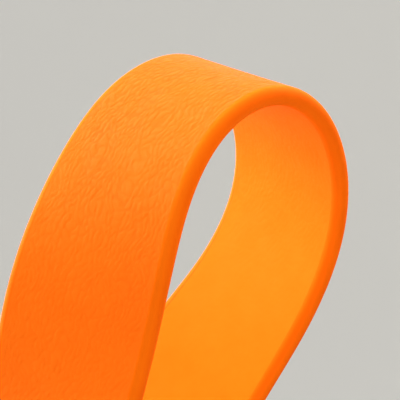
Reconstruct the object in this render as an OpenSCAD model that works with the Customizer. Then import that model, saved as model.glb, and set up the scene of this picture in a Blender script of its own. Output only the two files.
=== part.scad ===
// Flat power transmission belt, laced into a closed loop.
//
// A fabric-carcass band with a leather-grain cover on both faces and full
// round edges runs once round the loop. Its two ends are cut square and
// gripped by hinged plate clips, whose loops interleave on a removable
// sleeved pin. The clips are riveted through the band.
//
// Origin: the axis of the pulley that the crown of the loop sits on.
// +X runs across the belt along that axis, +Z points up to the crown.

/* [Belt] */
// Width over the round edges
belt_w = 25; // [24:0.5:27]
// Thickness over both covers
belt_t = 3; // [2.8:0.1:3.2]
// Thickness of each grained cover
cover_t = 0.8; // [0.6:0.05:0.9]
// Thickness of the adhesive film under each cover
bond_t = 0.15; // [0.1:0.05:0.2]
// Thickness of each woven fabric ply
ply_t = 0.35; // [0.3:0.05:0.4]

/* [Loop] */
// Lean of each leg from the vertical where it reaches the hinge
leg_lean = 25; // [24:1:27]
// Turn of the hinge pin about the vertical, from the pulley axis
hinge_yaw = 6; // [0:1:10]
// Straight length of each leg, from the hinge pin to the first bend
leg_straight = 13; // [12:0.5:14]

/* [Lacing] */
// Sheet thickness of the clips
sheet_t = 0.8; // [0.6:0.1:0.9]
// Clips on each belt end
clips = 3; // [3]
// Spacing of the hinge loops along the pin
lane_pitch = 1.84; // [1.8:0.02:1.88]
// Width of one hinge loop
loop_w = 1.56; // [1.4:0.02:1.6]
// Distance from the pin to the cut end of the belt
end_gap = 5; // [5:0.1:5.5]
// Radius of a rivet shank
rivet_r = 0.8; // [0.6:0.05:0.9]
// Radius of a rivet head
rivet_head_r = 1.35; // [1.2:0.05:1.5]

/* [Pin] */
// Radius of the pin's steel core
core_r = 0.9; // [0.8:0.05:0.95]
// Outer radius of the pin's nylon sleeve
sleeve_r = 1.2; // [1.1:0.05:1.3]
// Radial running clearance of the pin in the loops
pin_clear = 0.05; // [0.03:0.01:0.08]
// Outer radius of the pin's head and of its keeper
head_r = 2; // [1.8:0.1:2.2]

/* [Hidden] */

// How the loop hangs: centre of the band at a dozen places from the left leg
// over the crown to the right leg, and the turn of the band's width there.
hang = [[ 1.0, -12.0, -32.5,  14],
        [ 1.0, -15.5, -22.0,  18],
        [ 1.0, -18.0, -12.0,  10],
        [ 0.5, -19.0,  -1.0,  -1],
        [ 0.0, -16.5,  10.0,  -6],
        [ 0.0,  -8.0,  18.5,  -8],
        [ 0.0,   4.5,  19.5,  -9],
        [ 0.5,  15.0,  13.5,  -9],
        [ 0.5,  21.0,   3.5,  -7],
        [ 0.0,  21.5,  -8.5,  -2],
        [-1.0,  19.0, -19.5,   6],
        [-1.5,  17.0, -31.0,   8]];
// Centre of the hinge pin
hinge_at = [-0.5, 3.5, -67];
// Spacing of the guide points that keep the legs straight at the hinge
guide = 14;
// Rings in each span of the curve
steps = 4;
// Sides of a half-round edge
edge_n = 10;

edge_r   = belt_t / 2;
flat_w   = belt_w / 2 - edge_r;          // half width of the flat faces
bore_r   = sleeve_r + pin_clear;         // inside radius of a hinge loop
loop_r   = bore_r + sheet_t;             // outside radius of a hinge loop
plate_v  = belt_t / 2 + sheet_t;         // outer face of a plate, from the band's middle
lanes    = 4 * clips;
clip_w   = 2 * lane_pitch + loop_w;
rivet_at = [end_gap + 2.3, end_gap + 5.7];
half_pin = belt_w / 2;

// Layer faces from the inner face of the band to its outer face
v1 = -edge_r + cover_t;
v2 = v1 + bond_t;
v3 = v2 + ply_t;
v4 = -v3;
v5 = -v2;
v6 = -v1;
faces_v = [-edge_r, v1, v2, v3, v4, v5, v6, edge_r];

// ---- the curve of the band -------------------------------------------------

function unit(a) = a / norm(a);
wdir = [cos(hinge_yaw), sin(hinge_yaw), 0];
hdir = [-sin(hinge_yaw), cos(hinge_yaw), 0];
dirL = -hdir * sin(leg_lean) + [0, 0, cos(leg_lean)];
dirR =  hdir * sin(leg_lean) + [0, 0, cos(leg_lean)];
endL = hinge_at + leg_straight * dirL;
endR = hinge_at + leg_straight * dirR;
function with_yaw(p, a) = [p[0], p[1], p[2], a];
ctrl = concat(
    [with_yaw(endL - guide * dirL, hinge_yaw), with_yaw(endL, hinge_yaw),
     with_yaw(endL + guide * dirL, hinge_yaw)],
    hang,
    [with_yaw(endR + guide * dirR, hinge_yaw), with_yaw(endR, hinge_yaw),
     with_yaw(endR - guide * dirR, hinge_yaw)]);
spans = len(ctrl) - 3;

// Uniform cubic B-spline: place and heading
function bs(i, t) = let (s = 1 - t)
    (s*s*s * ctrl[i] + (3*t*t*t - 6*t*t + 4) * ctrl[i+1]
     + (-3*t*t*t + 3*t*t + 3*t + 1) * ctrl[i+2] + t*t*t * ctrl[i+3]) / 6;
function bd(i, t) = let (s = 1 - t)
    (-s*s * ctrl[i] + (3*t*t - 4*t) * ctrl[i+1]
     + (-3*t*t + 2*t + 1) * ctrl[i+2] + t*t * ctrl[i+3]) / 2;
function xyz(a) = [a[0], a[1], a[2]];
// One station: [centre, width direction, outward normal]
function station(c, head, yaw) =
    let (T = unit(head), u = [cos(yaw), sin(yaw), 0], W = unit(u - (u * T) * T))
    [c, W, cross(W, T)];
function on_curve(k) =
    let (i = min(floor(k / steps), spans - 1), t = k / steps - i, q = bs(i, t))
    station(xyz(q), xyz(bd(i, t)), q[3]);
stations = concat(
    [station(hinge_at + end_gap * dirL, dirL, hinge_yaw)],
    [for (k = [0 : steps * spans]) on_curve(k)],
    [station(hinge_at + end_gap * dirR, -dirR, hinge_yaw)]);

// ---- sweeping a section along the band -------------------------------------

// Neighbouring layers split each patch along the same diagonal, so that
// their faces meet exactly.
function before(a, b) = a[0] < b[0] || (a[0] == b[0] && a[1] < b[1]);
module along_band(section) {
    n = len(section);
    m = len(stations);
    pts = [for (s = stations) for (p = section) s[0] + p[0] * s[1] + p[1] * s[2]];
    sides = [for (i = [0 : m - 2]) for (j = [0 : n - 1])
        let (k = (j + 1) % n, a = i*n + j, b = i*n + k, c = a + n, d = b + n)
        each (before(section[j], section[k])
              ? [[a, b, d], [a, d, c]]
              : [[a, b, c], [b, d, c]])];
    caps = [[for (j = [n - 1 : -1 : 0]) j], [for (j = [0 : n - 1]) (m - 1)*n + j]];
    polyhedron(points = pts, faces = concat(sides, caps), convexity = 10);
}
function layer(lo, hi) = [[-flat_w, lo], [flat_w, lo], [flat_w, hi], [-flat_w, hi]];
module punched() {
    difference() {
        children();
        rivet_holes(-1);
        rivet_holes(1);
    }
}
module ply(lo, hi) { punched() along_band(layer(lo, hi)); }

// ---- the lacing ------------------------------------------------------------

// Places children in a leg's own frame: X across the belt, Z up the leg
module at_leg(side) {
    translate(hinge_at) rotate([0, 0, hinge_yaw]) rotate([-side * leg_lean, 0, 0]) children();
}
function lane_x(i) = (i - (lanes - 1) / 2) * lane_pitch;
function clip_x(side, k) = lane_x(4 * k + (side < 0 ? 1 : 2));
// Extrudes an outline drawn across the leg to a width along X
module across(x, w) {
    translate([x - w / 2, 0, 0]) rotate([90, 0, 90]) linear_extrude(w) children();
}
module loop_outline() {
    difference() {
        circle(loop_r, $fn = 96);
        circle(bore_r, $fn = 96);
        translate([-2 * loop_r, 0]) square([4 * loop_r, 2 * loop_r]);
    }
    for (m = [0, 1]) mirror([m, 0])
        polygon([[bore_r, 0], [loop_r, 0], [plate_v, end_gap], [edge_r, end_gap]]);
}
module plate_outline() {
    top = leg_straight;
    polygon([[edge_r, end_gap], [plate_v, end_gap], [plate_v, top - 0.7],
             [plate_v - sheet_t / 2, top], [edge_r, top]]);
}
module rivet_holes(side) {
    for (k = [0 : clips - 1]) for (z = rivet_at)
        at_leg(side) translate([clip_x(side, k), 0, z]) rotate([90, 0, 0])
            cylinder(r = rivet_r, h = 4 * belt_t, center = true, $fn = 48);
}
module clip(side, k) {
    color([0.70, 0.70, 0.71])
    difference() {
        at_leg(side) {
            for (d = [-1, 1]) across(clip_x(side, k) + d * lane_pitch, loop_w) loop_outline();
            for (m = [0, 1]) mirror([0, m, 0]) across(clip_x(side, k), clip_w) plate_outline();
        }
        rivet_holes(side);
    }
}
module rivet() {
    cylinder(r = rivet_r, h = 2 * plate_v, center = true, $fn = 48);
    for (m = [0, 1]) mirror([0, 0, m]) translate([0, 0, plate_v])
        rotate_extrude($fn = 48)
            polygon([[0, 0], [rivet_head_r, 0], [rivet_head_r, 0.2],
                     [rivet_head_r - 0.35, 0.45], [0, 0.55]]);
}
module rivets(side) {
    color([0.76, 0.74, 0.70])
    for (k = [0 : clips - 1]) for (z = rivet_at)
        at_leg(side) translate([clip_x(side, k), 0, z]) rotate([90, 0, 0]) rivet();
}
module on_pin(x) {
    translate(hinge_at) rotate([0, 0, hinge_yaw]) translate([x, 0, 0]) rotate([0, 90, 0]) children();
}

// ---- the pieces ------------------------------------------------------------

module outer_cover() { color([1.00, 0.47, 0.03]) ply(v6, edge_r); }
module outer_bond()  { color([0.93, 0.80, 0.55]) ply(v5, v6); }
module outer_ply()   { color([0.90, 0.88, 0.82]) ply(v4, v5); }
module core_layer()  { color([0.96, 0.55, 0.18]) ply(v3, v4); }
module inner_ply()   { color([0.90, 0.88, 0.82]) ply(v2, v3); }
module inner_bond()  { color([0.93, 0.80, 0.55]) ply(v1, v2); }
module inner_cover() { color([1.00, 0.47, 0.03]) ply(-edge_r, v1); }

// Half-round bead welded along one side of the band
module edge_seal(side) {
    arc = [for (j = [1 : edge_n - 1]) let (a = -90 + 180 * j / edge_n)
           [side * (flat_w + edge_r * cos(a)), edge_r * sin(a)]];
    up = [for (v = faces_v) [side * flat_w, v]];
    near = concat([for (j = [7 : -1 : 0]) up[j]], arc);
    far  = concat(up, [for (j = [edge_n - 2 : -1 : 0]) arc[j]]);
    color([1.00, 0.47, 0.03]) along_band(side > 0 ? near : far);
}
module edge_seal_near() { edge_seal(1); }
module edge_seal_far()  { edge_seal(-1); }

module lace_clip_left_1()  { clip(-1, 0); }
module lace_clip_left_2()  { clip(-1, 1); }
module lace_clip_left_3()  { clip(-1, 2); }
module lace_clip_right_1() { clip(1, 0); }
module lace_clip_right_2() { clip(1, 1); }
module lace_clip_right_3() { clip(1, 2); }
module rivets_left()  { rivets(-1); }
module rivets_right() { rivets(1); }

// Steel core with its head on the near side of the belt
module hinge_pin() {
    color([0.78, 0.78, 0.79]) on_pin(0) {
        translate([0, 0, -half_pin - 2.1]) cylinder(r = core_r, h = 2 * half_pin + 2.2, $fn = 64);
        translate([0, 0, -half_pin - 2.4]) cylinder(r1 = core_r - 0.3, r2 = core_r, h = 0.3, $fn = 64);
        translate([0, 0, half_pin + 0.1]) rotate_extrude($fn = 64)
            polygon([[0, 0], [head_r, 0], [head_r, 0.7], [head_r - 0.3, 1], [0, 1]]);
    }
}
// Nylon sleeve fixed on the core, which turns and slides in the loops
module pin_sleeve() {
    color([0.92, 0.91, 0.88]) on_pin(-half_pin + 0.4)
        difference() {
            cylinder(r = sleeve_r, h = 2 * half_pin - 0.3, $fn = 64);
            translate([0, 0, -1]) cylinder(r = core_r, h = 2 * half_pin + 2, $fn = 64);
        }
}
// Push-on collar that stops the pin from drawing out
module pin_keeper() {
    color([0.20, 0.20, 0.21]) on_pin(-half_pin - 1.4)
        difference() {
            rotate_extrude($fn = 64)
                polygon([[0, 0], [head_r - 0.3, 0], [head_r, 0.3], [head_r, 1.3], [0, 1.3]]);
            translate([0, 0, -1]) cylinder(r = core_r + 0.03, h = 4, $fn = 64);
        }
}

outer_cover();
outer_bond();
outer_ply();
core_layer();
inner_ply();
inner_bond();
inner_cover();
edge_seal_near();
edge_seal_far();
lace_clip_left_1();
lace_clip_left_2();
lace_clip_left_3();
lace_clip_right_1();
lace_clip_right_2();
lace_clip_right_3();
rivets_left();
rivets_right();
hinge_pin();
pin_sleeve();
pin_keeper();
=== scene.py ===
"""Flat transmission belt with a leather-grain cover, laced into a loop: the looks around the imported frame."""
import math

import bmesh
import bpy
import numpy as np
from mathutils import Matrix, Vector


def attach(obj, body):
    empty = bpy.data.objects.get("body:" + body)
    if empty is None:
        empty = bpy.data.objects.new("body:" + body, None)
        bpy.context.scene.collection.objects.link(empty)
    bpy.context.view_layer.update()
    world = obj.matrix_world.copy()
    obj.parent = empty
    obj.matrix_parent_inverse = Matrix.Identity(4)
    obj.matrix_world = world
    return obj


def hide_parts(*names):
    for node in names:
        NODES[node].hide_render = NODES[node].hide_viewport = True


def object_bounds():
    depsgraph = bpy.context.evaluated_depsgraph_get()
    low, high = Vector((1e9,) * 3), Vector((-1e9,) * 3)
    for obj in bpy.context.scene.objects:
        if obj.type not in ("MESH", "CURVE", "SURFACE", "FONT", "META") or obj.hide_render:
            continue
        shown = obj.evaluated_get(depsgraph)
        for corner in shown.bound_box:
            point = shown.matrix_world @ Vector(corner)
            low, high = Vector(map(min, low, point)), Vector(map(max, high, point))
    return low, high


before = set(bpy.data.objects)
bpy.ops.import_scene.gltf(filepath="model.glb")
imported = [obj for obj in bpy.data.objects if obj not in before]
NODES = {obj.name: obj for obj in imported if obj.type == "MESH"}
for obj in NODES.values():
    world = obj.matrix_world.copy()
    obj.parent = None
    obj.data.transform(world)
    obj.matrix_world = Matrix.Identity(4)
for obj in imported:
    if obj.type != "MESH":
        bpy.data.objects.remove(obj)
CAD_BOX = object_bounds()
MM = 0.001
SC = bpy.context.scene

# ------------------------------------------------------------------ sizes, in mm, as the CAD has them
BELT_W, BELT_T, COVER_T = 25.0, 3.0, 0.8
EDGE_R = BELT_T / 2
FLAT_W = BELT_W / 2 - EDGE_R
LEAN, YAW = math.radians(25), math.radians(6)
STRAIGHT, END_GAP, GUIDE = 13.0, 5.0, 14.0
SHEET, CLIPS, PITCH, LOOP_W = 0.8, 3, 1.84, 1.56
SLEEVE_R, CORE_R, HEAD_R = 1.2, 0.9, 2.0
BORE_R = SLEEVE_R + 0.05
LOOP_R = BORE_R + SHEET
PLATE_V = BELT_T / 2 + SHEET
RIVET_R, RIVET_HEAD = 0.8, 1.35
LANES = 4 * CLIPS
CLIP_W = 2 * PITCH + LOOP_W
RIVET_AT = (END_GAP + 2.3, END_GAP + 5.7)
HANG = [(1, -12, -32.5, 14), (1, -15.5, -22, 18), (1, -18, -12, 10), (0.5, -19, -1, -1),
        (0, -16.5, 10, -6), (0, -8, 18.5, -8), (0, 4.5, 19.5, -9), (0.5, 15, 13.5, -9),
        (0.5, 21, 3.5, -7), (0, 21.5, -8.5, -2), (-1, 19, -19.5, 6), (-1.5, 17, -31, 8)]
HINGE = np.array([-0.5, 3.5, -67.0])

# ------------------------------------------------------------------ the camera
CAM_AT = np.array([187.16, -227.43, -12.03])
CAM_FWD = np.array([-0.63554, 0.77097, 0.04105])
CAM_UP = np.array([-0.29532, -0.29188, 0.90972])
cam_data = bpy.data.cameras.new("camera")
cam_data.sensor_width = 36
cam_data.lens = 1976.4 / 400 * 36
cam_data.clip_start = 0.01
cam_data.clip_end = 20
cam = bpy.data.objects.new("camera", cam_data)
SC.collection.objects.link(cam)
_f = Vector(CAM_FWD).normalized()
_r = _f.cross(Vector(CAM_UP)).normalized()
_u = _r.cross(_f)
cam.matrix_world = Matrix((
    (_r.x, _u.x, -_f.x, CAM_AT[0] * MM),
    (_r.y, _u.y, -_f.y, CAM_AT[1] * MM),
    (_r.z, _u.z, -_f.z, CAM_AT[2] * MM),
    (0, 0, 0, 1)))
SC.camera = cam

# ------------------------------------------------------------------ the curve of the band
W_DIR = np.array([math.cos(YAW), math.sin(YAW), 0])
H_DIR = np.array([-math.sin(YAW), math.cos(YAW), 0])
DIR_L = -H_DIR * math.sin(LEAN) + np.array([0, 0, math.cos(LEAN)])
DIR_R = H_DIR * math.sin(LEAN) + np.array([0, 0, math.cos(LEAN)])
END_L, END_R = HINGE + STRAIGHT * DIR_L, HINGE + STRAIGHT * DIR_R
_h = [(p[0], p[1], p[2], math.radians(p[3])) for p in HANG]
CTRL = np.array(
    [(*(END_L - GUIDE * DIR_L), YAW), (*END_L, YAW), (*(END_L + GUIDE * DIR_L), YAW)] + _h
    + [(*(END_R + GUIDE * DIR_R), YAW), (*END_R, YAW), (*(END_R - GUIDE * DIR_R), YAW)], float)


def band_line(step):
    """Centres, width directions and outward normals along the band, every step mm of its length."""
    spans = len(CTRL) - 3
    u = np.linspace(0, spans, spans * 400 + 1)
    i = np.minimum(u.astype(int), spans - 1)
    t = (u - i)[:, None]
    p0, p1, p2, p3 = CTRL[i], CTRL[i + 1], CTRL[i + 2], CTRL[i + 3]
    c = ((1 - t) ** 3 * p0 + (3 * t**3 - 6 * t**2 + 4) * p1 + (-3 * t**3 + 3 * t**2 + 3 * t + 1) * p2 + t**3 * p3) / 6
    d = (-(1 - t) ** 2 * p0 + (3 * t**2 - 4 * t) * p1 + (-3 * t**2 + 2 * t + 1) * p2 + t**2 * p3) / 2
    k = np.linspace(END_GAP, STRAIGHT, 41)[:-1, None]
    c = np.vstack([np.c_[HINGE + k * DIR_L, np.full(len(k), YAW)], c,
                   np.c_[HINGE + k[::-1] * DIR_R, np.full(len(k), YAW)]])
    d = np.vstack([np.tile(DIR_L, (len(k), 1)), d[:, :3], np.tile(-DIR_R, (len(k), 1))])
    run = np.r_[0, np.cumsum(np.linalg.norm(np.diff(c[:, :3], axis=0), axis=1))]
    n = int(round(run[-1] / step))
    s = np.linspace(0, run[-1], n + 1)
    at = lambda a: np.stack([np.interp(s, run, a[:, j]) for j in range(a.shape[1])], 1)
    cc, dd = at(c), at(d / np.linalg.norm(d, axis=1, keepdims=True))
    T = dd / np.linalg.norm(dd, axis=1, keepdims=True)
    uu = np.c_[np.cos(cc[:, 3]), np.sin(cc[:, 3]), 0 * cc[:, 3]]
    W = uu - (uu * T).sum(1, keepdims=True) * T
    W /= np.linalg.norm(W, axis=1, keepdims=True)
    return s, cc[:, :3], W, np.cross(W, T)


# ------------------------------------------------------------------ the embossed grain
def hash01(ix, iy, seed):
    """A fixed pseudo-random number in 0..1 for each whole-number cell."""
    h = (ix.astype(np.int64) * 374761393 + iy.astype(np.int64) * 668265263 + seed * 982451653) & 0xFFFFFFFF
    h = ((h ^ (h >> 13)) * 1274126177) & 0xFFFFFFFF
    h = ((h ^ (h >> 16)) * 2246822519) & 0xFFFFFFFF
    return ((h ^ (h >> 15)) & 0xFFFFFF) / float(0x1000000)


def value_noise(x, y, ny, seed):
    """Smooth noise, repeating every ny cells in y."""
    ix, iy = np.floor(x).astype(np.int64), np.floor(y).astype(np.int64)
    fx, fy = x - ix, y - iy
    fx, fy = fx**3 * (fx * (fx * 6 - 15) + 10), fy**3 * (fy * (fy * 6 - 15) + 10)
    g = lambda a, b: hash01(ix + a, (iy + b) % ny, seed)
    return ((g(0, 0) * (1 - fx) + g(1, 0) * fx) * (1 - fy) + (g(0, 1) * (1 - fx) + g(1, 1) * fx) * fy) * 2 - 1


def cells(x, y, ny, seed):
    """Distances to the nearest two of the jittered points, repeating every ny cells in y."""
    ix, iy = np.floor(x).astype(np.int64), np.floor(y).astype(np.int64)
    f1 = np.full(x.shape, 9.0)
    f2 = np.full(x.shape, 9.0)
    for a in (-1, 0, 1):
        for b in (-1, 0, 1):
            jx, jy = ix + a, iy + b
            px = jx + 0.1 + 0.8 * hash01(jx, jy % ny, seed)
            py = jy + 0.1 + 0.8 * hash01(jx, jy % ny, seed + 17)
            d = np.hypot(px - x, py - y)
            f2 = np.minimum(f2, np.maximum(f1, d))
            f1 = np.minimum(f1, d)
    return f1, f2


def grain(s, q, round_q):
    """Height of the emboss, 0 in the creases to 1 on the pebbles; s runs along the belt and q round it, in mm."""
    n8 = lambda size: max(1, int(round(round_q / size)))
    wob = lambda size, seed: value_noise(s / size, q * n8(size) / round_q, n8(size), seed)
    # the creases wander, so the lattice is bent first
    ws = s + 1.3 * wob(3.4, 3) + 0.4 * wob(1.2, 5)
    wq = q + 0.95 * wob(3.9, 7) + 0.26 * wob(1.25, 9)
    out = 0
    for size_s, size_q, share, sharp, seed in ((1.55, 0.88, 0.58, 0.42, 11), (0.9, 0.52, 0.20, 0.5, 29)):
        ny = n8(size_q)
        f1, f2 = cells(ws / size_s, wq * ny / round_q, ny, seed)
        edge = np.clip((f2 - f1) / sharp, 0, 1)
        out = out + share * (edge * edge * (3 - 2 * edge))
    # longer folds that run mostly along the belt
    ny = n8(0.98)
    fold = np.clip(np.abs(value_noise(ws / 2.2, wq * ny / round_q, ny, 53)) / 0.34, 0, 1)
    out = out + 0.22 * (fold * fold * (3 - 2 * fold))
    swell = 0.5 + 0.5 * wob(2.3, 41)
    return np.clip(0.92 * out + 0.08 * swell, 0, 1)


# ------------------------------------------------------------------ mesh helpers
def make_piece(name, co, polys, normals=None, uvs=None, floats=()):
    """A mesh piece from points in metres and polygons of any length, with its own corner normals if they are given."""
    me = bpy.data.meshes.new(name)
    sizes = np.array([len(p) for p in polys], np.int32)
    flat = np.concatenate([np.asarray(p, np.int32) for p in polys])
    me.vertices.add(len(co))
    me.vertices.foreach_set("co", np.asarray(co, np.float32).ravel())
    me.loops.add(len(flat))
    me.loops.foreach_set("vertex_index", flat)
    me.polygons.add(len(sizes))
    me.polygons.foreach_set("loop_start", np.r_[0, np.cumsum(sizes)[:-1]].astype(np.int32))
    me.polygons.foreach_set("loop_total", sizes)
    me.polygons.foreach_set("use_smooth", np.ones(len(sizes), bool))
    me.update(calc_edges=True)
    for key, values in floats:
        me.attributes.new(key, "FLOAT", "POINT").data.foreach_set("value", np.asarray(values, np.float32).ravel())
    if uvs is not None:
        me.uv_layers.new(name="Band").data.foreach_set("uv", np.asarray(uvs, np.float32).ravel())
    if normals is not None:
        me.normals_split_custom_set(np.asarray(normals, np.float64))
    ob = bpy.data.objects.new(name, me)
    SC.collection.objects.link(ob)
    return ob


def flat_normals(co, polys):
    """The plain normal of each polygon, repeated for its corners."""
    out = []
    for p in polys:
        q = co[list(p)]
        n = np.cross(q, np.roll(q, -1, 0)).sum(0)
        out.append(np.tile(n / (np.linalg.norm(n) + 1e-30), (len(p), 1)))
    return np.vstack(out)


# ------------------------------------------------------------------ the band's skin, as one master surface
STEP, STEP_Q = 0.28, 0.172                       # along the band, and across it
S_AT, LINE, LINE_W, LINE_N = band_line(STEP)
LENGTH = S_AT[-1]
NA = 22                                        # steps round each half-round edge
NF = int(round(2 * FLAT_W / STEP_Q))             # steps across each flat face
ARC = math.pi * EDGE_R
ROUND = 2 * ARC + 4 * FLAT_W
_a = np.linspace(-math.pi / 2, math.pi / 2, NA + 1)[:-1]
_f = np.linspace(0, 1, NF + 1)[:-1]
# round the near edge from the inner face to the outer, across the outer face, the far edge, the inner face
RING_U = np.r_[FLAT_W + EDGE_R * np.cos(_a), FLAT_W - 2 * FLAT_W * _f,
               -FLAT_W - EDGE_R * np.cos(_a), -FLAT_W + 2 * FLAT_W * _f]
RING_V = np.r_[EDGE_R * np.sin(_a), np.full(NF, EDGE_R), -EDGE_R * np.sin(_a), np.full(NF, -EDGE_R)]
RING_NU = np.r_[np.cos(_a), np.zeros(NF), -np.cos(_a), np.zeros(NF)]
RING_NV = np.r_[np.sin(_a), np.ones(NF), -np.sin(_a), -np.ones(NF)]
RING_Q = np.r_[ARC * np.arange(NA) / NA, ARC + 2 * FLAT_W * _f,
               ARC + 2 * FLAT_W + ARC * np.arange(NA) / NA, 2 * ARC + 2 * FLAT_W + 2 * FLAT_W * _f]
NR, NS = len(RING_U), len(S_AT)


def smooth_round(values, k):
    """The ring's values smoothed over k columns each way."""
    w = np.hanning(2 * k + 1)
    return np.convolve(np.r_[values[-k:], values, values[:k]], w / w.sum(), "same")[k:-k]


_S, _Q = np.meshgrid(S_AT, RING_Q, indexing="ij")
EMBOSS = grain(_S, _Q, ROUND)
# the emboss is full on the outer face, softer on the pulley face, and fades over the round edges
FACE = smooth_round(np.r_[np.zeros(NA), np.ones(NF), np.zeros(NA), np.full(NF, 0.26)], 12)
FACE = 0.1 + 0.9 * FACE
# and it is pressed flat under the clips' plates
END_S = np.minimum(S_AT, LENGTH - S_AT)
PRESS = 0.15 + 0.85 * np.clip((END_S - 7.6) / 1.2, 0, 1)
# the emboss is crispest over the crown and a little ironed out towards the lacing
_c = np.clip((END_S - 45) / 40, 0, 1)
CRISP = 0.50 + 0.50 * _c * _c * (3 - 2 * _c)
CARRY = FACE[None, :] * (PRESS * CRISP)[:, None]
DEPTH = 0.097 * CARRY * (1 - EMBOSS)
SKIN = (LINE[:, None, :] + (RING_U[None, :] - DEPTH * RING_NU)[..., None] * LINE_W[:, None, :]
        + (RING_V[None, :] - DEPTH * RING_NV)[..., None] * LINE_N[:, None, :])
_ds = np.gradient(SKIN, axis=0)
_dq = (np.roll(SKIN, -1, 1) - np.roll(SKIN, 1, 1))
SKIN_N = np.cross(_ds, _dq)
SKIN_N /= np.linalg.norm(SKIN_N, axis=2, keepdims=True)
_out = RING_NU[None, :, None] * LINE_W[:, None, :] + RING_NV[None, :, None] * LINE_N[:, None, :]
if (SKIN_N * _out).sum() < 0:
    SKIN_N = -SKIN_N
HEIGHT = 1 - (1 - EMBOSS) * CARRY
# how much each column is painted paler, part rub wear and part painted highlight that softens the shading from face to
# edge: the round edges' shoulders, most a little way round from each face
_turn = np.degrees(np.r_[_a[:, None] * 0 + np.minimum(_a + math.pi / 2, math.pi / 2 - _a)[:, None], np.full((NF, 1), -1.0)].ravel())
WEAR_SHEEN = np.where(_turn < 0, 0, np.where(_turn < 15, _turn / 15, np.clip((68 - _turn) / 53, 0, 1)))
WEAR_SHEEN = smooth_round(np.r_[WEAR_SHEEN, 0.7 * WEAR_SHEEN], 2)
# the shoulders' paler tint, rub wear and painted highlight, is strongest over the crown and fades towards the lacing
WEAR_SHEEN_ALONG = 0.2 + 0.8 * _c * _c * (3 - 2 * _c)
# and the line round the middle of each edge, darkened as painted shade
EDGE_SHADE = smooth_round(np.tile(np.r_[np.clip(1 - np.abs(np.degrees(_a) - 8) / 38, 0, 1), np.zeros(NF)], 2) ** 0.8, 2)


def skin_part(name, first, last, floor_uv):
    """The closed piece under the skin's columns first to last. floor_uv is its buried side: (u, v) at the last column and at the first, or None for a flat chord."""
    cols = np.arange(first, last + 1)
    nc = len(cols)
    wrap = cols % NR
    top = SKIN[:, wrap]
    q = np.where(cols >= NR, RING_Q[wrap] + ROUND, RING_Q[wrap])
    pts = [top.reshape(-1, 3)]
    if floor_uv:
        for uu, vv in floor_uv:
            pts.append(LINE + uu * LINE_W + vv * LINE_N)
    co = np.vstack(pts) * MM
    i = np.arange(NS - 1)
    I, J = np.meshgrid(i, np.arange(nc - 1), indexing="ij")
    a = I * nc + J
    face = np.stack([a, a + 1, a + nc + 1, a + nc], -1).reshape(-1, 4)
    last_c, first_c = i * nc + nc - 1, i * nc
    if floor_uv:
        b0 = NS * nc + i
        b1 = NS * nc + NS + i
        walls = [np.stack([last_c, b0, b0 + 1, last_c + nc], -1), np.stack([b0, b1, b1 + 1, b0 + 1], -1),
                 np.stack([b1, first_c, first_c + nc, b1 + 1], -1)]
        cap0 = list(range(nc)) + [NS * nc, NS * nc + NS]
        cap1 = [(NS - 1) * nc + k for k in range(nc)] + [NS * nc + NS - 1, NS * nc + 2 * NS - 1]
    else:
        walls = [np.stack([last_c, first_c, first_c + nc, last_c + nc], -1)]
        cap0 = list(range(nc))
        cap1 = [(NS - 1) * nc + k for k in range(nc)]
    walls = np.vstack(walls)
    # does the face side's winding look outwards?
    mid = face[len(face) // 2]
    n = np.cross(co[mid[1]] - co[mid[0]], co[mid[3]] - co[mid[0]])
    ref = SKIN_N[:, wrap].reshape(-1, 3)[mid[0]]
    flip = n @ ref < 0
    if flip:
        face, walls = face[:, ::-1], walls[:, ::-1]
    else:
        cap0 = cap0[::-1]
    if flip:
        cap1 = cap1[::-1]
    polys = list(face) + list(walls) + [cap0, cap1]
    nrm = SKIN_N[:, wrap].reshape(-1, 3)[face.ravel()]
    quad = co[walls]
    wn = np.cross(quad[:, 2] - quad[:, 0], quad[:, 3] - quad[:, 1])
    wn /= np.linalg.norm(wn, axis=1, keepdims=True) + 1e-30
    caps = flat_normals(co, [cap0, cap1])
    normals = np.vstack([nrm, np.repeat(wn, 4, 0), caps])
    n_top = NS * nc
    sq = np.zeros((len(co), 2))
    sq[:n_top, 0] = np.repeat(S_AT, nc) / 10
    sq[:n_top, 1] = np.tile(q, NS) / 10
    for k in range(len(co[n_top:]) // NS if floor_uv else 0):
        sq[n_top + k * NS: n_top + (k + 1) * NS] = np.stack([S_AT / 10, np.full(NS, q[-1 if k == 0 else 0] / 10)], 1)
    flat = np.concatenate([face.ravel(), walls.ravel(), cap0, cap1]).astype(int)
    height = np.ones(len(co))
    height[:n_top] = HEIGHT[:, wrap].ravel()
    near_end = np.zeros(len(co))
    lace = np.clip(1 - (END_S - 8.5) / 5, 0, 1)
    near_end[:n_top] = np.repeat(lace, nc)
    # the rubbed attribute carries the shoulders' paler tint: rub wear and painted highlight
    rubbed = np.zeros(len(co))
    rubbed[:n_top] = np.outer(WEAR_SHEEN_ALONG, WEAR_SHEEN[wrap]).ravel()
    # painted shade round the middle of each round edge
    grime = np.zeros(len(co))
    grime[:n_top] = np.tile(EDGE_SHADE[wrap], NS)
    return make_piece(name, co, polys, normals, sq[flat],
                      (("emboss", height), ("lacing", near_end), ("rubbed", rubbed), ("grime", grime)))


V_IN = EDGE_R - COVER_T
PARTS = {}
PARTS["edge_seal_near"] = skin_part("edge_bead_near", 0, NA, None)
PARTS["outer_cover"] = skin_part("outer_cover_grained", NA, NA + NF, ((-FLAT_W, V_IN), (FLAT_W, V_IN)))
PARTS["edge_seal_far"] = skin_part("edge_bead_far", NA + NF, 2 * NA + NF, None)
PARTS["inner_cover"] = skin_part("inner_cover_grained", 2 * NA + NF, NR, ((FLAT_W, -V_IN), (-FLAT_W, -V_IN)))


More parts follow.
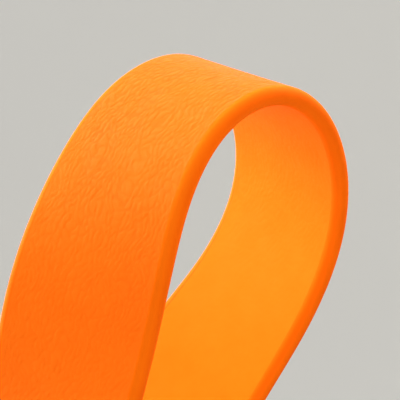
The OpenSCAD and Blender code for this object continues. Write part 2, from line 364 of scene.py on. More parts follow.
# ------------------------------------------------------------------ the plies, bonds and core between the covers
def layer_piece(name, lo, hi, ragged, seed, yarns=False):
    """A sheet swept between v = lo and v = hi, with a ragged cut at its two ends, and the ends of its warp yarns if it is woven."""
    rows = np.unique(np.r_[0, 2, np.arange(6, NS - 6, 8), NS - 3, NS - 1])
    nu = 60
    u = np.linspace(FLAT_W, -FLAT_W, nu + 1)
    P, W, N = LINE[rows], LINE_W[rows], LINE_N[rows]
    grid = []
    for v in (hi, lo):
        grid.append(P[:, None, :] + u[None, :, None] * W[:, None, :] + v * N[:, None, :])
    co = np.stack(grid)                                     # side, row, column
    T0 = (LINE[0] - LINE[1]) / np.linalg.norm(LINE[0] - LINE[1])
    T1 = (LINE[-1] - LINE[-2]) / np.linalg.norm(LINE[-1] - LINE[-2])
    k = np.arange(nu + 1)
    for end, way in ((0, T0), (-1, T1)):
        for side in (0, 1):
            wave = ragged * (hash01(k, k * 0 + end + 5, seed + side) - 0.35)
            wave[[0, -1]] = 0
            co[side, end] += wave[:, None] * way
    nr, nc = len(rows), nu + 1
    at = lambda side, i, j: (side * nr + i) * nc + j
    polys = []
    for i in range(nr - 1):
        for j in range(nu):
            polys.append((at(0, i, j), at(0, i, j + 1), at(0, i + 1, j + 1), at(0, i + 1, j)))
            polys.append((at(1, i, j), at(1, i + 1, j), at(1, i + 1, j + 1), at(1, i, j + 1)))
        for j, turn in ((0, 1), (nu, -1)):
            p = (at(0, i, j), at(0, i + 1, j), at(1, i + 1, j), at(1, i, j))
            polys.append(p[::turn])
    for j in range(nu):
        polys.append((at(0, 0, j), at(1, 0, j), at(1, 0, j + 1), at(0, 0, j + 1)))
        polys.append((at(0, nr - 1, j), at(0, nr - 1, j + 1), at(1, nr - 1, j + 1), at(1, nr - 1, j)))
    pts = [co.reshape(-1, 3)]
    if yarns:
        # each warp yarn ends in a short, slightly splayed stub that stands a little out of the cut
        base = len(pts[0])
        pitch, ring, nring = 0.46, 10, 6
        count = int(2 * (FLAT_W - 0.35) / pitch)
        for e, (c, w, n, way) in enumerate(((LINE[0], LINE_W[0], LINE_N[0], T0), (LINE[-1], LINE_W[-1], LINE_N[-1], T1))):
            for y in range(count):
                r1, r2, r3 = (float(hash01(np.array([y]), np.array([e]), seed + q)[0]) for q in (31, 32, 33))
                uu = -FLAT_W + 0.35 + pitch * (y + 0.5) + 0.05 * (r1 - 0.5)
                vv = (lo + hi) / 2
                reach = 0.05 + 0.14 * r2
                thick = (hi - lo) / 2 * 0.97
                prof = [(-0.9, 0.72, 0.9), (-0.2, 0.96, 1.0), (reach * 0.35, 1.0, 1.0), (reach * 0.75, 0.9, 0.86),
                        (reach, 0.55, 0.5), (reach + 0.004, 0.16, 0.15)]
                start = base
                for d, fu, fv in prof:
                    for q in range(ring):
                        a = 2 * math.pi * q / ring
                        lump = 1 + 0.06 * math.sin(3 * a + 6 * r3)
                        du, dv = 0.215 * fu * lump * math.cos(a), thick * fv * math.sin(a)
                        pts.append((c + (uu + du + 0.03 * (r3 - 0.5) * (d > 0)) * w + (vv + dv) * n + d * way)[None])
                for q0 in range(nring - 1):
                    for q in range(ring):
                        a0, b0 = start + q0 * ring + q, start + q0 * ring + (q + 1) % ring
                        polys.append((a0, b0, b0 + ring, a0 + ring))
                polys.append(tuple(start + q for q in range(ring))[::-1])
                polys.append(tuple(start + (nring - 1) * ring + q for q in range(ring)))
                base += ring * nring
    co = np.vstack(pts) * MM
    me = bpy.data.meshes.new(name)
    me.from_pydata(co.tolist(), [], [tuple(int(x) for x in p) for p in polys])
    bm = bmesh.new()
    bm.from_mesh(me)
    bmesh.ops.recalc_face_normals(bm, faces=bm.faces)
    bm.to_mesh(me)
    bm.free()
    me.polygons.foreach_set("use_smooth", [yarns and len(p.vertices) == 4 for p in me.polygons])
    ob = bpy.data.objects.new(name, me)
    SC.collection.objects.link(ob)
    return ob


V_FACES = (-EDGE_R, -0.7, -0.55, -0.2, 0.2, 0.55, 0.7, EDGE_R)
LAYERS = {
    "outer_bond": layer_piece("outer_bond_film", V_FACES[5], V_FACES[6], 0.07, 3),
    "outer_ply": layer_piece("outer_ply_woven", V_FACES[4], V_FACES[5], 0.03, 5, yarns=True),
    "core_layer": layer_piece("core_layer_cast", V_FACES[3], V_FACES[4], 0.05, 7),
    "inner_ply": layer_piece("inner_ply_woven", V_FACES[2], V_FACES[3], 0.03, 9, yarns=True),
    "inner_bond": layer_piece("inner_bond_film", V_FACES[1], V_FACES[2], 0.07, 11),
}


# ------------------------------------------------------------------ the lacing
def leg_frame(side):
    """Moves from a leg's own axes (X across the belt, Z up the leg) to the row frame, in mm. side is -1 left, +1 right."""
    z = DIR_R if side > 0 else DIR_L
    y = np.cross(z, W_DIR)
    return np.stack([W_DIR, y, z], 1)


def finish_mesh(name, pts, polys, bevel=None, smooth=True):
    me = bpy.data.meshes.new(name)
    me.from_pydata((np.asarray(pts) * MM).tolist(), [], [tuple(int(x) for x in p) for p in polys])
    bm = bmesh.new()
    bm.from_mesh(me)
    bmesh.ops.recalc_face_normals(bm, faces=bm.faces)
    bm.to_mesh(me)
    bm.free()
    me.polygons.foreach_set("use_smooth", [smooth] * len(me.polygons))
    ob = bpy.data.objects.new(name, me)
    SC.collection.objects.link(ob)
    if bevel:
        b = ob.modifiers.new("rounded_edges", "BEVEL")
        b.width, b.segments, b.limit_method, b.angle_limit = bevel * MM, 3, "ANGLE", math.radians(38)
        b.miter_outer = "MITER_ARC"
        b.use_clamp_overlap = True
        w = ob.modifiers.new("even_shading", "WEIGHTED_NORMAL")
        w.keep_sharp = False
        w.weight = 60
    return ob


def clip_piece(name, side, k):
    """One folded plate: an outline with rounded corners, bent round the pin, with its thickness."""
    x0 = ((4 * k + (1 if side < 0 else 2)) - (LANES - 1) / 2) * PITCH
    half, slot = CLIP_W / 2, PITCH - LOOP_W / 2
    mid_r = BORE_R + SHEET / 2
    flat_v = EDGE_R + SHEET / 2
    # rows down one plate, round the pin and up the other: (z or angle), as centre point, normal, then widths
    zs = [STRAIGHT, STRAIGHT - 0.06, STRAIGHT - 0.2, STRAIGHT - 0.4, STRAIGHT - 0.7, 12, 10.7, 9.2, 7.3, 6.2, END_GAP + 0.25,
          END_GAP, END_GAP - 0.05, END_GAP - 0.15, END_GAP - 0.35, 3.4, 2.2, 1.1]
    down = []
    for z in zs:
        y = flat_v if z >= END_GAP else mid_r + (flat_v - mid_r) * z / END_GAP
        down.append((y, z))
    arc = [(mid_r * math.cos(a), -mid_r * math.sin(a)) for a in np.linspace(0, math.pi, 29)]
    path = np.array(down + arc + [(-y, z) for y, z in down[::-1]])
    n = len(path)
    tan = np.gradient(path, axis=0)
    tan /= np.linalg.norm(tan, axis=1, keepdims=True)
    nor = np.stack([-tan[:, 1], tan[:, 0]], 1)
    if nor[0, 0] < 0:
        nor = -nor
    top_r, fil = 0.7, 0.34
    rows = []
    for i, (y, z) in enumerate(path):
        plate = z >= END_GAP - 1e-9
        hw = half
        dz = STRAIGHT - z
        if plate and dz < top_r:
            hw = half - (top_r - math.sqrt(max(0, top_r**2 - (top_r - dz) ** 2)))
        below = END_GAP - z
        inner = slot
        if 0 <= below < fil:
            inner = slot - (fil - math.sqrt(max(0, fil**2 - (fil - below) ** 2)))
        elif plate:
            inner = slot - fil * max(0.0, 1 - (z - END_GAP) / 1.2)
        rows.append((hw, inner, plate))
    pts, index = [], {}
    for s, off in ((0, SHEET / 2), (1, -SHEET / 2)):
        for i in range(n):
            y, z = path[i]
            hw, inner, plate = rows[i]
            o = off
            if plate and s == 0:
                dz = STRAIGHT - z
                if dz < 0.7:
                    o = off - (SHEET / 2) * (1 - dz / 0.7)
            wide = (hw - inner) / 3
            xs = [-hw, -hw + wide, -inner - wide, -inner, -inner * 0.34, inner * 0.34, inner, inner + wide, hw - wide, hw]
            for j, x in enumerate(xs):
                index[s, i, j] = len(pts)
                q = np.array([x0 + x, y + o * nor[i, 0], z + o * nor[i, 1]])
                pts.append(q)
    polys, edges = [], {}
    for i in range(n - 1):
        both = rows[i][2] and rows[i + 1][2]
        for j in range(9):
            if not both and 3 <= j <= 5:
                continue
            q = [(i, j), (i, j + 1), (i + 1, j + 1), (i + 1, j)]
            polys.append([index[0, a, b] for a, b in q])
            polys.append([index[1, a, b] for a, b in q[::-1]])
            for a, b in zip(q, q[1:] + q[:1]):
                edges[frozenset((a, b))] = None if frozenset((a, b)) in edges else (a, b)
    for e in edges.values():
        if e:
            a, b = e
            polys.append([index[0, *b], index[0, *a], index[1, *a], index[1, *b]])
    pts = np.array(pts) @ leg_frame(side).T + HINGE
    used = sorted({v for p in polys for v in p})
    new = {v: i for i, v in enumerate(used)}
    return finish_mesh(name, pts[used], [[new[v] for v in p] for p in polys], bevel=0.11)


def lathe(profile, around, shape=None):
    """Points and polygons of a turned solid along its own Z from (z, radius) pairs. shape(angle, z, r) may move the radius."""
    pts, polys = [], []
    for z, r in profile:
        for q in range(around):
            a = 2 * math.pi * q / around
            rr = shape(a, z, r) if shape and r > 1e-6 else r
            pts.append((rr * math.cos(a), rr * math.sin(a), z))
    for i in range(len(profile) - 1):
        for q in range(around):
            a, b = i * around + q, i * around + (q + 1) % around
            polys.append((a, b, b + around, a + around))
    return np.array(pts), polys


def capped(profile, around, shape=None):
    pts, polys = lathe(profile, around, shape)
    polys.append(tuple(range(around))[::-1])
    polys.append(tuple((len(profile) - 1) * around + q for q in range(around)))
    return pts, polys


def tube(profile, around, shape=None):
    """The same, with the profile closed on itself."""
    pts, polys = lathe(profile, around, shape)
    last = (len(profile) - 1) * around
    for q in range(around):
        a, b = last + q, last + (q + 1) % around
        polys.append((a, b, (q + 1) % around, q))
    return pts, polys


def rivets_piece(name, side):
    """Six rivets: a domed factory head outside and a rolled, flatter one inside, each with its small centre dimple."""
    dome = [(0.55 * math.cos(t) ** 0.9, RIVET_HEAD * math.sin(t) ** 0.92) for t in np.linspace(0.16, math.pi / 2, 11)]
    head = [(0.40, 0.10), (0.42, 0.22), (0.50, 0.30)] + [(h + 0.0, r) for h, r in dome if r > 0.36] + [(0.0, RIVET_HEAD - 0.03)]
    flat = [(0.18, 0.12), (0.20, 0.45), (0.40, 0.62), (0.44, 0.80), (0.42, 1.02), (0.34, 1.20), (0.20, 1.31), (0.08, 1.345), (0.0, 1.30)]
    prof = [(PLATE_V + h, r) for h, r in head] + [(PLATE_V, RIVET_R), (-PLATE_V, RIVET_R)] + [(-PLATE_V - h, r) for h, r in flat[::-1]]
    pts, polys, base = [], [], 0
    for k in range(CLIPS):
        x0 = ((4 * k + (1 if side < 0 else 2)) - (LANES - 1) / 2) * PITCH
        for z in RIVET_AT:
            p, f = capped(prof, 40)
            # the head stands outwards: along +Y of the right leg's axes and -Y of the left one's
            out = p[:, 2] * (1 if side > 0 else -1)
            q = np.stack([x0 + p[:, 0], out, z + p[:, 1]], 1)
            pts.append(q)
            polys += [tuple(base + v for v in g) for g in f]
            base += len(p)
    return finish_mesh(name, np.vstack(pts) @ leg_frame(side).T + HINGE, polys)


def on_pin(pts):
    """From (x, y, z) with z along the pin, as turned, to the row frame."""
    m = np.stack([H_DIR, np.array([0, 0, 1.0]), W_DIR], 1)
    return pts @ m.T + HINGE


HALF_PIN = BELT_W / 2


def soft_corner(z0, r0, z1, r1, z2, r2, reach, steps=5):
    """Points that round the corner at (z1, r1) between its neighbours."""
    p0, p1, p2 = (np.array(p, float) for p in ((z0, r0), (z1, r1), (z2, r2)))
    a = p1 + (p0 - p1) / np.linalg.norm(p0 - p1) * reach
    b = p1 + (p2 - p1) / np.linalg.norm(p2 - p1) * reach
    return [tuple((1 - t) ** 2 * a + 2 * t * (1 - t) * p1 + t * t * b) for t in np.linspace(0, 1, steps)]


def pin_piece():
    lo, hi = -HALF_PIN - 2.4, HALF_PIN + 1.1
    neck = hi - 1.0
    prof = [(lo + 0.05, 0.12), (lo, 0.30)]
    prof += soft_corner(lo, 0.3, lo, CORE_R - 0.3, lo + 0.3, CORE_R, 0.1)
    prof += soft_corner(lo, CORE_R - 0.3, lo + 0.3, CORE_R, lo + 2, CORE_R, 0.12)
    prof += [(z, CORE_R) for z in np.linspace(lo + 1, neck - 0.25, 14)]
    prof += [(neck - 0.02, CORE_R)]
    prof += [(neck, 0.94)] + soft_corner(neck, 1.0, neck, HEAD_R, neck + 0.5, HEAD_R, 0.14)
    prof += soft_corner(neck + 0.5, HEAD_R, hi - 0.22, HEAD_R, hi, HEAD_R - 0.42, 0.16)
    prof += soft_corner(hi - 0.22, HEAD_R, hi - 0.02, HEAD_R - 0.42, hi, 0.6, 0.2)
    prof += [(hi, 0.75), (hi, 0.5), (hi - 0.05, 0.42), (hi - 0.16, 0.3), (hi - 0.2, 0.12)]
    pts, polys = capped(prof, 72)
    return finish_mesh("hinge_pin_turned", on_pin(pts), polys)


def sleeve_piece():
    lo, hi = -HALF_PIN + 0.4, HALF_PIN + 0.1
    c = 0.09
    prof = [(lo, CORE_R + 0.02), (lo, SLEEVE_R - c), (lo + 0.03, SLEEVE_R - 0.03), (lo + c, SLEEVE_R)]
    prof += [(z, SLEEVE_R) for z in np.linspace(lo + 0.6, hi - 0.6, 40)]
    prof += [(hi - c, SLEEVE_R), (hi - 0.03, SLEEVE_R - 0.03), (hi, SLEEVE_R - c), (hi, CORE_R + 0.02)]

    # slightly uneven from the loops bearing on it
    def worn(a, z, r):
        return r - (0.012 * (0.5 + 0.5 * math.cos(2 * math.pi * z / PITCH)) if r > SLEEVE_R - 0.01 else 0)

    pts, polys = tube(prof, 72, worn)
    return finish_mesh("pin_sleeve_moulded", on_pin(pts), polys)


def keeper_piece():
    lo = -HALF_PIN - 1.4
    hi = lo + 1.3
    bore = CORE_R + 0.03
    prof = [(lo + 0.12, bore), (lo + 0.03, bore + 0.08), (lo, bore + 0.2)]
    prof += soft_corner(lo, bore + 0.2, lo, HEAD_R - 0.3, lo + 0.3, HEAD_R, 0.12)
    prof += soft_corner(lo, HEAD_R - 0.3, lo + 0.3, HEAD_R, hi, HEAD_R, 0.14)
    prof += [(lo + 0.55, HEAD_R), (lo + 0.75, HEAD_R), (lo + 0.95, HEAD_R)]
    prof += soft_corner(lo + 0.5, HEAD_R, hi, HEAD_R, hi, bore + 0.2, 0.14)
    prof += [(hi, bore + 0.2), (hi - 0.03, bore + 0.08), (hi - 0.12, bore)]

    # twenty grip flutes round the outside
    def fluted(a, z, r):
        deep = max(0.0, min(1.0, (r - HEAD_R + 0.25) / 0.2)) * max(0.0, min(1.0, (z - lo - 0.28) / 0.2)) * max(0.0, min(1.0, (hi - 0.1 - z) / 0.15))
        return r - 0.13 * deep * (0.5 + 0.5 * math.cos(20 * a)) ** 2

    pts, polys = tube(prof, 160, fluted)
    return finish_mesh("pin_keeper_collar", on_pin(pts), polys)


CLIPS_MADE = {f"lace_clip_{n}_{k + 1}": clip_piece(f"lace_clip_{n}_{k + 1}_folded", s, k)
              for s, n in ((-1, "left"), (1, "right")) for k in range(CLIPS)}
RIVETS = {"rivets_left": rivets_piece("rivets_left_set", -1), "rivets_right": rivets_piece("rivets_right_set", 1)}
PIN = pin_piece()
SLEEVE = sleeve_piece()
KEEPER = keeper_piece()

# ------------------------------------------------------------------ materials
class Nodes:
    """A short way of writing a procedural material."""

    def __init__(self, name):
        self.mat = bpy.data.materials.new(name)
        self.mat.use_nodes = True
        self.tree = self.mat.node_tree
        self.tree.nodes.clear()
        self.out = self.tree.nodes.new("ShaderNodeOutputMaterial")
        self.bsdf = self.tree.nodes.new("ShaderNodeBsdfPrincipled")
        self.tree.links.new(self.bsdf.outputs[0], self.out.inputs[0])

    def node(self, kind, inputs=None, **settings):
        n = self.tree.nodes.new(kind)
        for k, v in settings.items():
            setattr(n, k, v)
        for k, v in (inputs or {}).items():
            self.set(n, k, v)
        return n

    def set(self, n, key, value):
        if isinstance(value, bpy.types.NodeSocket):
            self.tree.links.new(value, n.inputs[key])
        else:
            n.inputs[key].default_value = value

    def shader(self, **inputs):
        for k, v in inputs.items():
            self.set(self.bsdf, k.replace("_", " "), v)

    def coords(self, kind="Object"):
        return self.node("ShaderNodeTexCoord").outputs[kind]

    def band(self):
        return self.node("ShaderNodeUVMap", uv_map="Band").outputs[0]

    def stretch(self, vector, scale, turn=(0, 0, 0)):
        return self.node("ShaderNodeMapping", {"Vector": vector, "Scale": scale, "Rotation": turn}).outputs[0]

    def noise(self, vector, scale, detail=3.0, rough=0.5, warp=0.0):
        return self.node("ShaderNodeTexNoise", {"Vector": vector, "Scale": scale, "Detail": detail, "Roughness": rough,
                                                "Distortion": warp}).outputs[0]

    def cell(self, vector, scale, feature="F1", smooth=None, spread=1.0):
        n = self.node("ShaderNodeTexVoronoi", {"Vector": vector, "Scale": scale, "Randomness": spread}, feature=feature)
        return n.outputs["Distance"]

    def math(self, kind, a, b=0.0, c=0.0, clamp=False):
        n = self.node("ShaderNodeMath", operation=kind, use_clamp=clamp)
        self.set(n, 0, a)
        self.set(n, 1, b)
        if kind in ("MULTIPLY_ADD", "SMOOTH_MIN", "SMOOTH_MAX", "WRAP"):
            self.set(n, 2, c)
        return n.outputs[0]

    def span(self, value, a, b, lo=0.0, hi=1.0, smooth=True):
        n = self.node("ShaderNodeMapRange", {"Value": value, "From Min": a, "From Max": b, "To Min": lo, "To Max": hi},
                      interpolation_type="SMOOTHSTEP" if smooth else "LINEAR")
        return n.outputs[0]

    def mix(self, share, a, b, kind="MIX"):
        n = self.node("ShaderNodeMix", data_type="RGBA", blend_type=kind)
        self.set(n, 0, share)
        self.set(n, 6, a)
        self.set(n, 7, b)
        return n.outputs[2]

    def attribute(self, name):
        return self.node("ShaderNodeAttribute", attribute_name=name).outputs["Fac"]

    def bump(self, height, distance, strength=1.0, under=None):
        n = self.node("ShaderNodeBump", {"Height": height, "Distance": distance, "Strength": strength})
        if under is not None:
            self.set(n, "Normal", under)
        return n.outputs[0]


def rgb(r, g, b):
    return (r, g, b, 1.0)


def cover_material(name, polish, pale=1.0, gloss=0.025):
    """Satin orange polyurethane with an embossed grain. polish is 0 on the faces and 1 on the round edges. pale scales
    the green of every colour: above 1 it paints light in, below 1 it paints shade in.
    """
    m = Nodes(name)
    band, place = m.band(), m.coords()
    height = m.attribute("emboss")
    lacing = m.attribute("lacing")
    patch = m.noise(place, 55, 3, 0.55)
    cloud = m.noise(place, 260, 4, 0.6)
    pores = m.cell(m.stretch(band, (1.0, 1.25, 1)), 95)
    fine = m.noise(m.stretch(band, (0.8, 1.3, 1)), 120, 4, 0.6)
    # the creases of the emboss are painted darker than the pebble tops: painted shade in the creases
    top = rgb(0.93, 0.140 * pale, 0.0016)
    dip = rgb(0.89, 0.115 * pale, 0.0010)
    base = m.mix(m.span(height, 0.25, 0.95), dip, top)
    warm = m.mix(m.span(patch, 0.35, 0.65, 0, 0.55), base, rgb(0.94, 0.150 * pale, 0.0020))
    tone = m.mix(m.span(cloud, 0.3, 0.7, 0, 0.4), warm, rgb(0.905, 0.127 * pale, 0.0012))
    # the shoulders of the round edges are painted paler, unevenly along the belt: part rub wear, part painted highlight
    rub = m.math("MULTIPLY", m.attribute("rubbed"), m.span(m.noise(place, 150, 3, 0.6), 0.3, 0.7, 0.75, 1.0))
    tone = m.mix(rub, tone, rgb(0.95, 0.195, 0.0042))
    # the middle of each round edge is painted darker, unevenly along the belt: painted shade
    edge_shade_mix = m.math("MULTIPLY", m.attribute("grime"), m.span(m.noise(place, 190, 4, 0.6), 0.3, 0.7, 0.6, 1.0))
    tone = m.mix(edge_shade_mix, tone, rgb(0.79, 0.102, 0.0007))
    # rubbed metal and oil darken the belt a little round the lacing
    soil = m.math("MULTIPLY", lacing, m.span(m.noise(place, 420, 4, 0.65), 0.45, 0.75, 0, 0.5))
    m.shader(Base_Color=m.mix(soil, tone, rgb(0.42, 0.075, 0.01)))
    rough = m.span(height, 0.1, 1.0, 0.80, 0.70 + 0.04 * polish)
    rough = m.math("ADD", rough, m.span(cloud, 0.3, 0.7, -0.03, 0.03))
    m.shader(Roughness=m.math("ADD", rough, m.span(fine, 0.3, 0.7, -0.02, 0.02)))
    m.bsdf.inputs["Specular IOR Level"].default_value = gloss
    m.bsdf.inputs["IOR"].default_value = 1.5
    relief = m.math("ADD", m.math("MULTIPLY", fine, 0.7), m.span(pores, 0.0, 0.35, 0, 0.3))
    m.shader(Normal=m.bump(relief, 0.000018 * (1 - 0.6 * polish)))
    return m.mat


COVER = cover_material("cover_grained", 0.0, gloss=0.058)
# the pulley-side copy is painted paler: painted light on the inside of the loop
INNER = cover_material("cover_pulley_side", 0.0, 1.20, 0.034)
BEAD = cover_material("cover_bead", 1.0)
# the far bead copy is painted deeper: painted shade against the strong light on the far side
FAR_BEAD = cover_material("cover_bead_far", 1.0, 0.84)
for node, ob in PARTS.items():
    ob.data.materials.append(FAR_BEAD if node.endswith("far") else BEAD if node.startswith("edge") else INNER if node.startswith("inner") else COVER)
    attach(ob, "belt")
    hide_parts(node)



def ply_material():
    """Plain-woven polyester soaked in a little clear polymer."""
    m = Nodes("ply_woven")
    place = m.coords()
    strands = m.noise(m.stretch(place, (1, 1, 0.25)), 9000, 3, 0.6)
    cloud = m.noise(place, 900, 3, 0.5)
    base = m.mix(m.span(cloud, 0.3, 0.7), rgb(0.80, 0.76, 0.66), rgb(0.70, 0.63, 0.50))
    m.shader(Base_Color=m.mix(m.span(strands, 0.35, 0.7, 0, 0.5), base, rgb(0.88, 0.86, 0.80)))
    m.shader(Roughness=m.span(strands, 0.3, 0.7, 0.62, 0.8))
    m.bsdf.inputs["Specular IOR Level"].default_value = 0.3
    m.bsdf.inputs["Sheen Weight"].default_value = 0.25
    m.bsdf.inputs["Sheen Roughness"].default_value = 0.4
    m.shader(Normal=m.bump(strands, 0.00002))
    return m.mat


def cast_material(name, pale, deep, rough, cut):
    """A cast polymer seen at a knife cut: fine drag lines and small bubbles."""
    m = Nodes(name)
    place = m.coords()
    cloud = m.noise(place, 1100, 4, 0.6)
    drag = m.noise(m.stretch(place, (0.2, 1, 1)), 14000, 3, 0.65)
    pits = m.cell(place, 5200)
    m.shader(Base_Color=m.mix(m.span(cloud, 0.3, 0.7), pale, deep))
    m.shader(Roughness=m.math("ADD", m.span(drag, 0.3, 0.7, rough - 0.08, rough + 0.08), m.span(pits, 0, 0.2, 0.08, 0)))
    m.bsdf.inputs["Specular IOR Level"].default_value = 0.35
    m.shader(Normal=m.bump(m.math("ADD", drag, m.span(pits, 0, 0.3, -0.6, 0)), cut))
    return m.mat


def steel_material(name, light, dark, rough, grain_way, grain_size, scratch=0.4, tarnish=0.35):
    """Worked steel: a directional grain, cloudy tarnish, fine scratches, and edges rubbed brighter."""
    m = Nodes(name)
    place = m.coords()
    lines = m.noise(m.stretch(place, grain_way), grain_size, 4, 0.7)
    broad = m.noise(m.stretch(place, grain_way), grain_size / 4, 2, 0.5)
    cloud = m.noise(place, 420, 4, 0.6, 0.4)
    spots = m.noise(place, 2600, 3, 0.6)
    nick = m.noise(m.stretch(place, (0.25, 1.0, 0.6), (0.3, 0.5, 0.9)), 5200, 2, 0.4, 0.8)
    base = m.mix(m.span(lines, 0.3, 0.7), dark, light)
    base = m.mix(m.span(cloud, 0.42, 0.75, 0, tarnish), base, rgb(0.17, 0.152, 0.132))
    base = m.mix(m.span(spots, 0.66, 0.78, 0, 0.35), base, rgb(0.12, 0.105, 0.088))
    point = m.node("ShaderNodeNewGeometry").outputs["Pointiness"]
    worn = m.span(point, 0.505, 0.56, 0, 0.6)
    base = m.mix(worn, base, rgb(0.56, 0.552, 0.54))
    m.shader(Base_Color=base)
    m.bsdf.inputs["Metallic"].default_value = 1.0
    r = m.math("ADD", m.span(lines, 0.3, 0.7, rough - 0.06, rough + 0.07), m.span(cloud, 0.4, 0.75, 0, 0.14))
    m.shader(Roughness=m.math("SUBTRACT", r, m.math("MULTIPLY", worn, 0.12)))
    relief = m.math("ADD", m.math("MULTIPLY", lines, 0.5), m.math("MULTIPLY", broad, 0.5))
    relief = m.math("SUBTRACT", relief, m.span(nick, 0.68, 0.74, 0, scratch))
    m.shader(Normal=m.bump(relief, 0.000012))
    return m.mat


def nylon_material():
    m = Nodes("sleeve_nylon")
    place = m.coords()
    cloud = m.noise(place, 500, 3, 0.5)
    scuff = m.noise(m.stretch(place, (0.15, 1, 1), (0, 0, YAW)), 6000, 4, 0.7)
    base = m.mix(m.span(cloud, 0.3, 0.7), rgb(0.80, 0.785, 0.73), rgb(0.73, 0.705, 0.63))
    m.shader(Base_Color=m.mix(m.span(scuff, 0.56, 0.72, 0, 0.45), base, rgb(0.42, 0.40, 0.36)))
    m.shader(Roughness=m.span(scuff, 0.35, 0.7, 0.42, 0.6))
    m.bsdf.inputs["Subsurface Weight"].default_value = 0.12
    m.bsdf.inputs["Subsurface Radius"].default_value = (0.4, 0.35, 0.28)
    m.bsdf.inputs["Subsurface Scale"].default_value = 0.001
    m.shader(Normal=m.bump(scuff, 0.00001))
    return m.mat


def keeper_material():
    m = Nodes("keeper_rubber")
    place = m.coords()
    cloud = m.noise(place, 700, 4, 0.55)
    spark = m.noise(place, 9000, 3, 0.6)
    base = m.mix(m.span(cloud, 0.3, 0.7), rgb(0.030, 0.030, 0.032), rgb(0.050, 0.050, 0.052))
    point = m.node("ShaderNodeNewGeometry").outputs["Pointiness"]
    base = m.mix(m.span(point, 0.51, 0.58, 0, 0.5), base, rgb(0.12, 0.12, 0.12))
    m.shader(Base_Color=m.mix(m.span(spark, 0.62, 0.75, 0, 0.35), base, rgb(0.10, 0.10, 0.10)))
    m.shader(Roughness=m.span(spark, 0.3, 0.7, 0.55, 0.75))
    m.bsdf.inputs["Specular IOR Level"].default_value = 0.4
    m.shader(Normal=m.bump(spark, 0.000014))
    return m.mat


def give(ob, mat, node, body):
    ob.data.materials.append(mat)
    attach(ob, body)
    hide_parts(node)


PLY = ply_material()
BOND = cast_material("bond_film", rgb(0.80, 0.52, 0.20), rgb(0.70, 0.40, 0.13), 0.35, 0.00001)
CORE = cast_material("core_cast", rgb(0.85, 0.26, 0.045), rgb(0.78, 0.20, 0.03), 0.5, 0.00002)
for node, ob in LAYERS.items():
    kind = node.split("_")[-1] if node != "core_layer" else "core"
    give(ob, {"ply": PLY, "bond": BOND, "core": CORE}[kind], node, "belt")
CLIP_STEEL = steel_material("clip_rolled_steel", rgb(0.32, 0.317, 0.31), rgb(0.21, 0.207, 0.20), 0.52, (0.12, 1, 1), 9000)
RIVET_STEEL = steel_material("rivet_tumbled_steel", rgb(0.38, 0.372, 0.355), rgb(0.27, 0.263, 0.25), 0.44, (1, 1, 1), 5200, 0.3, 0.25)
PIN_STEEL = steel_material("pin_drawn_steel", rgb(0.40, 0.40, 0.396), rgb(0.28, 0.28, 0.277), 0.38, (0.05, 1, 1), 12000, 0.5, 0.2)
for node, ob in CLIPS_MADE.items():
    give(ob, CLIP_STEEL, node, "belt")
for node, ob in RIVETS.items():
    give(ob, RIVET_STEEL, node, "belt")
give(PIN, PIN_STEEL, "hinge_pin", "pin")
give(SLEEVE, nylon_material(), "pin_sleeve", "pin")
give(KEEPER, keeper_material(), "pin_keeper", "keeper")

# ------------------------------------------------------------------ floor, backdrop and light
STAGE_GLOW = 0.13


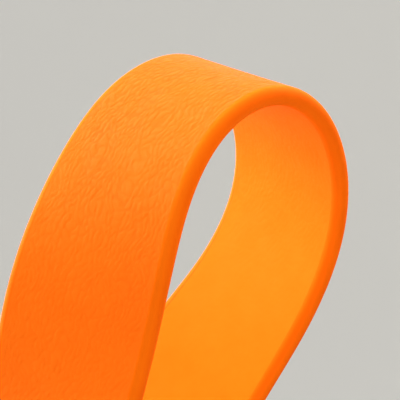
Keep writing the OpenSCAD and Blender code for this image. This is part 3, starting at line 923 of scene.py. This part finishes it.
def stage():
    """A pale floor that curves up into a pale round backdrop, wide enough for a camera on any side."""
    floor_z = CAD_BOX[0][2] - 0.40
    prof = [(r, 0.0) for r in (0.0, 0.03, 0.08, 0.15, 0.25, 0.4, 0.6, 0.8, 1.0, 1.2)]
    prof += [(1.2 + 0.8 * math.sin(a), 0.8 - 0.8 * math.cos(a)) for a in np.linspace(0, math.pi / 2, 17)[1:]]
    prof += [(2.0, z) for z in (1.1, 1.4, 1.8, 2.2, 2.6)] + [(1.93, 2.95), (1.75, 3.25)]
    n = 96
    co, polys = [(0, 0, floor_z)], []
    for r, z in prof[1:]:
        co += [(r * math.cos(2 * math.pi * k / n), r * math.sin(2 * math.pi * k / n), floor_z + z) for k in range(n)]
    for k in range(n):
        polys.append((0, 1 + k, 1 + (k + 1) % n))
    for j in range(len(prof) - 2):
        a, b = 1 + j * n, 1 + (j + 1) * n
        polys += [(a + k, b + k, b + (k + 1) % n, a + (k + 1) % n) for k in range(n)]
    me = bpy.data.meshes.new("studio")
    me.from_pydata(co, [], polys)
    me.polygons.foreach_set("use_smooth", [True] * len(me.polygons))
    ob = bpy.data.objects.new("studio", me)
    SC.collection.objects.link(ob)
    m = Nodes("studio")
    place = m.coords()
    flat = m.node("ShaderNodeVectorMath", {0: m.stretch(place, (1, 1, 0))}, operation="LENGTH").outputs["Value"]
    near = m.span(flat, 0.40, 1.5)
    pale = m.mix(near, rgb(0.36, 0.357, 0.35), rgb(0.80, 0.795, 0.785))
    m.shader(Base_Color=m.mix(m.span(m.noise(place, 6, 3, 0.5), 0.3, 0.7, 0, 0.05), pale, rgb(0.6, 0.6, 0.6)))
    m.bsdf.inputs["Roughness"].default_value = 0.95
    m.bsdf.inputs["Specular IOR Level"].default_value = 0.1
    m.bsdf.inputs["Emission Color"].default_value = (1.0, 0.99, 0.97, 1)
    m.bsdf.inputs["Emission Strength"].default_value = STAGE_GLOW
    me.materials.append(m.mat)


def area(name, towards, distance, spread, level, colour=(1.0, 0.985, 0.84)):
    """A round soft light seen from the loop in this direction, spread degrees from its middle to its rim. level is what it adds to a white surface that faces it."""
    way = Vector(towards).normalized()
    radius = distance * math.tan(math.radians(spread))
    li = bpy.data.lights.new(name, "AREA")
    li.shape = "DISK"
    li.size = 2 * radius
    li.energy = level / math.sin(math.radians(spread)) ** 2 * math.pi * math.pi * radius**2
    li.color = colour
    ob = bpy.data.objects.new(name, li)
    ob.location = Vector((0, 0, -0.015)) + way * distance
    ob.rotation_mode = "QUATERNION"
    ob.rotation_quaternion = way.to_track_quat("Z", "Y")
    ob.visible_camera = False
    SC.collection.objects.link(ob)


stage()
world = bpy.data.worlds.new("studio_air")
world.use_nodes = True
world.node_tree.nodes["Background"].inputs["Color"].default_value = (1.0, 0.985, 0.96, 1)
world.node_tree.nodes["Background"].inputs["Strength"].default_value = 0.33
SC.world = world
# one wide soft wall of light on the far side of the belt, a smaller one high on the near side, and a weak fill on the near edge
for at, up, level in ((200, 12, 1.42), (200, -12, 0.43), (215, 12, 0.52), (175, -12, 0.68), (150, 40, 0.46), (200, 40, 0.50),
                      (90, 60, 0.91), (150, -35, 0.16), (-30, 40, 0.35), (-40, -5, 0.13)):
    a, e = math.radians(at), math.radians(up)
    area(f"soft_{at}_{up}", (math.cos(e) * math.cos(a), math.cos(e) * math.sin(a), math.sin(e)), 0.5, 22, level)
SC.view_settings.view_transform = "Standard"
SC.view_settings.look = "None"
SC.view_settings.exposure = 0
SC.view_settings.gamma = 1
